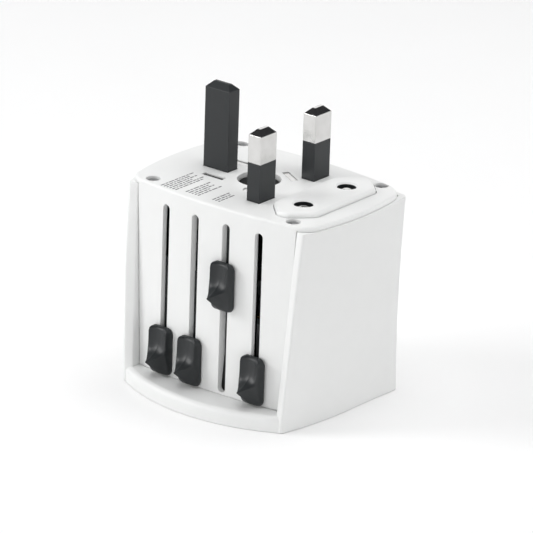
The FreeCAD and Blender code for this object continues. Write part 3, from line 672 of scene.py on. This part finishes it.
# fuse cap: slot holds the length, width and depth of the coin slot
capLook = {"radius": 5.3, "top": 53.5, "thick": 1.2, "slot": (7.0, 1.5, 0.75), "edge": 0.35, "shank": 4.0,
           "shankFoot": 45.15, "dotAt": 3.4, "dotRadius": 0.45, "dotDeep": 0.35}
capX = coreLook["fuseX"]
cap = rod(capX, 0, capLook["top"] - capLook["thick"], capLook["top"], capLook["radius"], segments=96)
soften(cap, ends(cap, capLook["top"]), capLook["edge"], 3)
shank = rod(capX, 0, capLook["shankFoot"], capLook["top"] - 0.6, capLook["shank"], segments=64)
cap = carve(cap, [shank], "UNION")
long, wide, deep = capLook["slot"]
coin = block((capX - long / 2, -wide / 2, capLook["top"] - deep), (capX + long / 2, wide / 2, 55))
dot = rod(capX, capLook["dotAt"], capLook["top"] - capLook["dotDeep"], 55, capLook["dotRadius"], segments=20)
cap = carve(cap, [coin, dot])
piece(cap, "fuseCapSkin", mattBlack, "fuse_turn_cap", "dark_plastic", "fuse_cap")
print("block and cap made")


# plain printed lines on the plug face, standing for the small print
# a block of lines is x, y, length, number of lines and the step between them
printLook = {
    "thick": 0.03, "line": 0.42, "space": 0.35, "shortest": 0.6,
    "blocks": ((-18.0, -20.9, 12.8, 6, 0.95), (-10.4, -20.2, 9.6, 5, 0.98), (-1.9, -20.0, 6.9, 3, 0.98)),
    "lengths": (1.0, 0.86, 0.97, 0.7), "words": (1.5, 0.9, 2.1, 1.2, 0.7),
}
prints = bmesh.new()
for x, y, run, rows, step in printLook["blocks"]:
    for row in range(rows):
        start = y
        stop = y + run * printLook["lengths"][row % len(printLook["lengths"])]
        word = row * 2
        while start < stop - printLook["shortest"]:
            length = printLook["words"][word % len(printLook["words"])]
            finish = min(start + length, stop)
            bar = bmesh.ops.create_cube(prints, size=1.0)["verts"]
            bmesh.ops.scale(prints, vec=(printLook["line"], finish - start, printLook["thick"]), verts=bar)
            middle = (x + row * step, (start + finish) / 2, coreLook["top"])
            bmesh.ops.translate(prints, vec=middle, verts=bar)
            start = finish + printLook["space"]
            word += 1
piece(prints, "printedLines", printedInk, "base", "dark_plastic")
print("print made")


# finishes on the nodes that keep their own shape
finishes = {charcoal: ("uk_carriage", "uk_sleeve_live", "uk_sleeve_neutral", "uk_earth_pin", "us_carriage",
                       "au_carriage", "euro_carriage", "euro_sleeve_live", "euro_sleeve_neutral"),
            nickel: ("uk_pin_live", "uk_pin_neutral", "us_blade_live", "us_blade_neutral", "au_blade_live",
                     "au_blade_neutral", "euro_pin_live", "euro_pin_neutral", "fuse_end_caps"),
            springBrass: ("contact_live", "contact_neutral", "busbar_live", "busbar_neutral"),
            bodyWhite: ("socket_face",), innerGrey: ("socket_block", "fuse_holder"),
            glazedCeramic: ("fuse_tube",),
            screwSteel: ("case_screws",)}
for finish, names in finishes.items():
    for name in names:
        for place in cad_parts[name].material_slots:
            place.material = finish
print("finishes set")


# floor, world and lights, in metres
stageLook = {
    "floorHalf": 6.0, "floorDrop": 0.0001,  # the floor lies just below the base, so the two don't coincide
    "strength": 1.17, "white": 0.34, "dark": 0.52, "darkColour": (0.03, 0.03, 0.032, 1),
}
lightLook = {
    "keySoftbox": {"energy": 5.5, "spot": (-0.80, -0.65, 0.55), "aim": (0, 0, 0.03), "size": 0.5,
                   "glossy": True},
    "sideSoftbox": {"energy": 0.1, "spot": (1.0, -0.25, 0.45), "aim": (0, 0, 0.03), "size": 0.8,
                    "glossy": False},
    "topSoftbox": {"energy": 7.0, "spot": (0.1, 0.1, 0.9), "aim": (0, 0, 0), "size": 0.9, "glossy": False},
}


def softbox(name, energy, spot, aim, size, glossy):
    # a square lamp that faces its aim, glossy if it shows in reflections
    data = bpy.data.lights.new(name, "AREA")
    data.energy = energy
    data.size = size
    made = bpy.data.objects.new(name, data)
    made.location = spot
    made.rotation_euler = (Vector(aim) - Vector(spot)).to_track_quat("-Z", "Y").to_euler()
    made.visible_glossy = glossy
    bpy.context.scene.collection.objects.link(made)


floorMesh = bmesh.new()
bmesh.ops.create_grid(floorMesh, x_segments=1, y_segments=1, size=stageLook["floorHalf"])
bmesh.ops.translate(floorMesh, vec=(0, 0, -stageLook["floorDrop"]), verts=floorMesh.verts)
floor = bpy.data.objects.new("floor", meshFrom(floorMesh, "floor"))
bpy.context.scene.collection.objects.link(floor)
paper = Recipe("paper")
paperWhite = paper.blend(paper.noise(30), (0.97, 0.97, 0.97), (0.99, 0.99, 0.99))
floor.data.materials.append(paper.finish(paperWhite, 0.9))

# the world is white up to a little above the horizon, then darkens upwards
world = bpy.data.worlds.new("studio")
world.use_nodes = True
bpy.context.scene.world = world
sky = world.node_tree
background = sky.nodes["Background"]
direction = sky.nodes.new("ShaderNodeTexCoord")
split = sky.nodes.new("ShaderNodeSeparateXYZ")
ramp = sky.nodes.new("ShaderNodeValToRGB")
ramp.color_ramp.elements[0].position = stageLook["white"]
ramp.color_ramp.elements[0].color = (1, 1, 1, 1)
ramp.color_ramp.elements[1].position = stageLook["dark"]
ramp.color_ramp.elements[1].color = stageLook["darkColour"]
sky.links.new(direction.outputs["Generated"], split.inputs[0])
sky.links.new(split.outputs["Z"], ramp.inputs[0])
sky.links.new(ramp.outputs[0], background.inputs["Color"])
background.inputs["Strength"].default_value = stageLook["strength"]
for name, look in lightLook.items():
    softbox(name, **look)
print("lights made")
